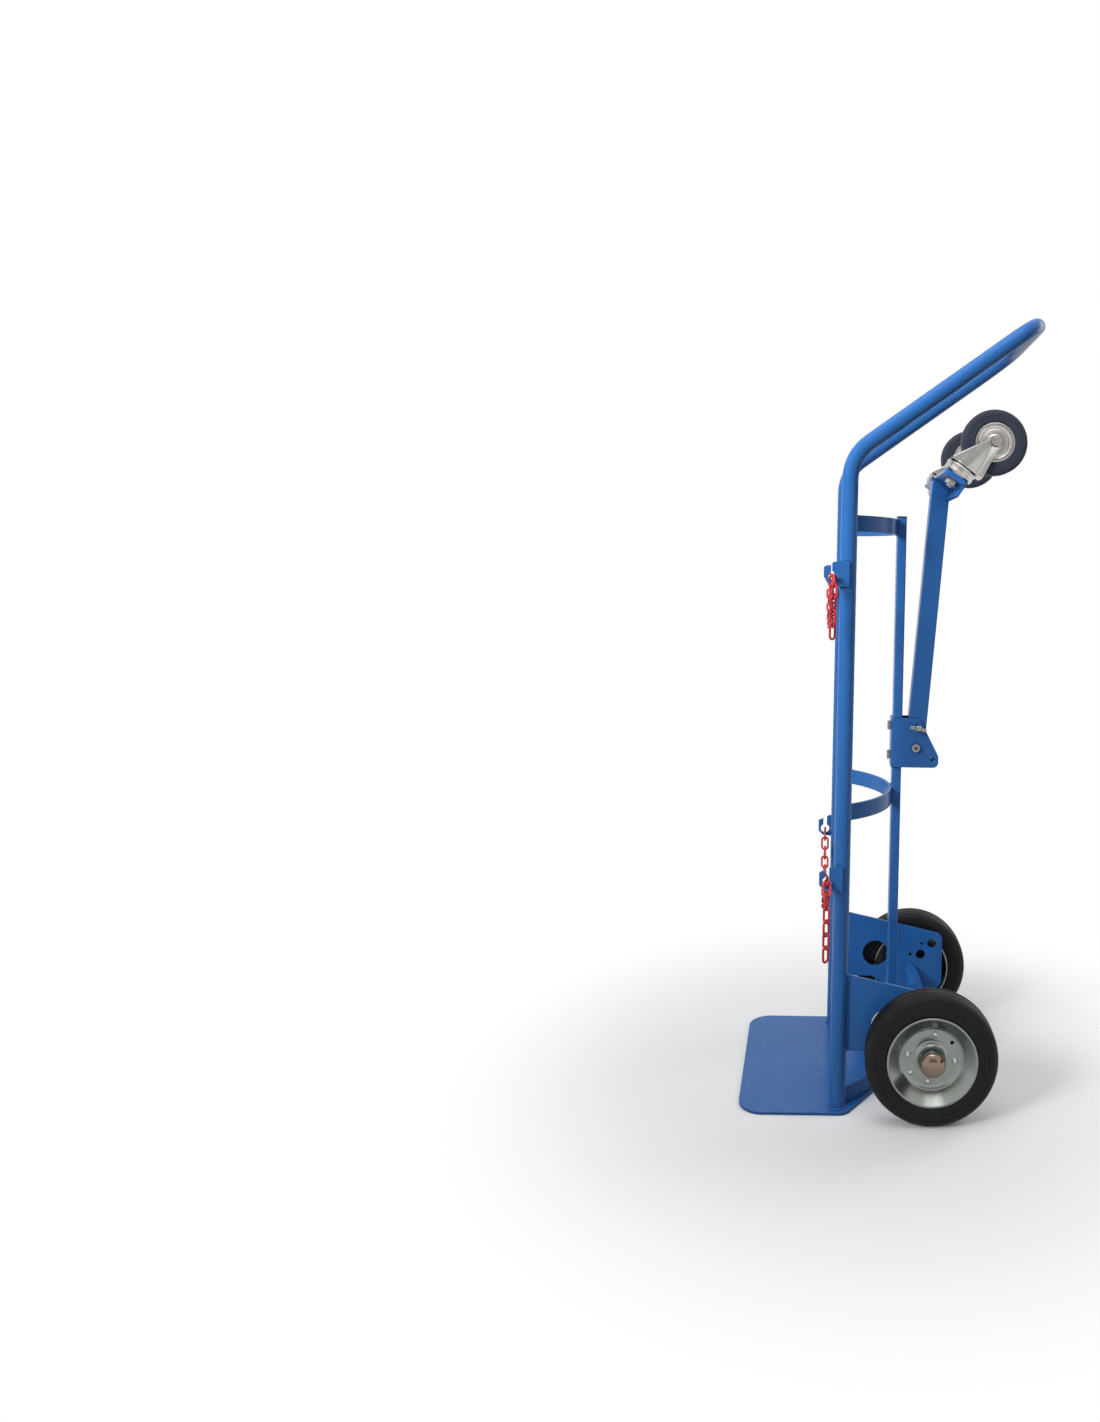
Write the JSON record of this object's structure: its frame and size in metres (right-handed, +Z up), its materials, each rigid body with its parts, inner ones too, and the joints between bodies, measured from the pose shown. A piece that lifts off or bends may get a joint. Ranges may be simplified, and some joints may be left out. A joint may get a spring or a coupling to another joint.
{
  "type": "gas cylinder trolley",
  "caption": "Upright tube-frame trolley for a gas cylinder, with a toe plate, curved back hoops, retaining chains, main wheels and a fold-down rear support on swivel castors.",
  "frame": {"origin": "on the floor under the axis of the cylinder's seat on the toe plate", "axes": "+X to the rear, towards the handle; +Y to the right of the person who pushes it; +Z up"},
  "size_m": [0.4518, 0.436, 1.2245],
  "materials": {
    "blue_paint": "gloss powder coat",
    "black_plastic": "satin",
    "zinc_steel": "zinc plated",
    "zinc_rim": "zinc plated, slightly blue-green",
    "bright_cap": "polished",
    "bearing_plastic": "plain",
    "rubber": "matt",
    "castor_rubber": "matt, slightly blue",
    "red_paint": "gloss"
  },
  "bodies": {
    "frame": {"frame_tube_left": "blue_paint", "frame_tube_right": "blue_paint", "handle_bow": "blue_paint", "toe_plate": "blue_paint", "hoop_top": "blue_paint", "hoop_middle": "blue_paint", "hoop_base": "blue_paint", "rear_post": "blue_paint", "post_cap": "black_plastic", "axle_plate_left": "blue_paint", "axle_plate_right": "blue_paint", "axle_sleeve": "blue_paint", "axle_rod": "zinc_steel", "axle_spacers": "zinc_steel", "axle_caps": "bright_cap", "pivot_bracket": "blue_paint", "bracket_bolts": "zinc_steel", "bracket_nuts": "zinc_steel", "pivot_bolt": "zinc_steel", "pivot_nut": "zinc_steel", "chain_eyes": "blue_paint"},
    "wheel_left": {"wheel_left_tyre": "rubber", "wheel_left_rim": "zinc_rim", "wheel_left_hub": "zinc_rim", "wheel_left_bush": "bearing_plastic", "wheel_left_rivets": "zinc_steel"},
    "wheel_right": {"wheel_right_tyre": "rubber", "wheel_right_rim": "zinc_rim", "wheel_right_hub": "zinc_rim", "wheel_right_bush": "bearing_plastic", "wheel_right_rivets": "zinc_steel"},
    "support": {"support_leg": "blue_paint", "leg_bush": "bearing_plastic", "castor_beam": "blue_paint", "castor_races": "zinc_steel", "castor_kingpins": "zinc_steel", "castor_nuts": "zinc_steel"},
    "castor_left": {"castor_left_fork": "zinc_steel", "castor_left_axle": "zinc_steel"},
    "castor_right": {"castor_right_fork": "zinc_steel", "castor_right_axle": "zinc_steel"},
    "castor_wheel_left": {"castor_left_disc": "zinc_steel", "castor_left_tyre": "castor_rubber"},
    "castor_wheel_right": {"castor_right_disc": "zinc_steel", "castor_right_tyre": "castor_rubber"},
    "lock_pin": {"lock_pin": "zinc_steel"},
    "chain_top": {"chain_top": "red_paint"},
    "chain_low": {"chain_low": "red_paint"}
  },
  "joints": [
    {"name": "wheel_left_spin", "type": "hinge", "parent": "frame", "child": "wheel_left", "pos_m": [0.186, -0.18, 0.1], "axis": [0, 1, 0], "continuous": true},
    {"name": "wheel_right_spin", "type": "hinge", "parent": "frame", "child": "wheel_right", "pos_m": [0.186, 0.18, 0.1], "axis": [0, 1, 0], "continuous": true},
    {"name": "support_fold", "type": "hinge", "parent": "frame", "child": "support", "pos_m": [0.168, 0, 0.538], "axis": [0, 1, 0], "range_deg": [0, 119.7]},
    {"name": "castor_left_swivel", "type": "hinge", "parent": "support", "child": "castor_left", "pos_m": [0.20695, -0.126, 0.972], "axis": [0.5592, 0, 0.829], "continuous": true},
    {"name": "castor_left_roll", "type": "hinge", "parent": "castor_left", "child": "castor_wheel_left", "pos_m": [0.26577, -0.126, 1.02702], "axis": [0, 1, 0], "continuous": true},
    {"name": "castor_right_swivel", "type": "hinge", "parent": "support", "child": "castor_right", "pos_m": [0.20695, 0.126, 0.972], "axis": [0.5592, 0, 0.829], "continuous": true},
    {"name": "castor_right_roll", "type": "hinge", "parent": "castor_right", "child": "castor_wheel_right", "pos_m": [0.26577, 0.126, 1.02702], "axis": [0, 1, 0], "continuous": true},
    {"name": "lock_pin_slide", "type": "slide", "parent": "frame", "child": "lock_pin", "axis": [0, 1, 0], "range_m": [0, 0.008]},
    {"name": "chain_top_swing", "type": "hinge", "parent": "frame", "child": "chain_top", "pos_m": [0.024, 0, 0.818], "axis": [0, 1, 0], "range_deg": [-20, 20]},
    {"name": "chain_low_swing", "type": "hinge", "parent": "frame", "child": "chain_low", "pos_m": [0.024, 0, 0.356], "axis": [0, 1, 0], "range_deg": [-20, 20]}
  ]
}
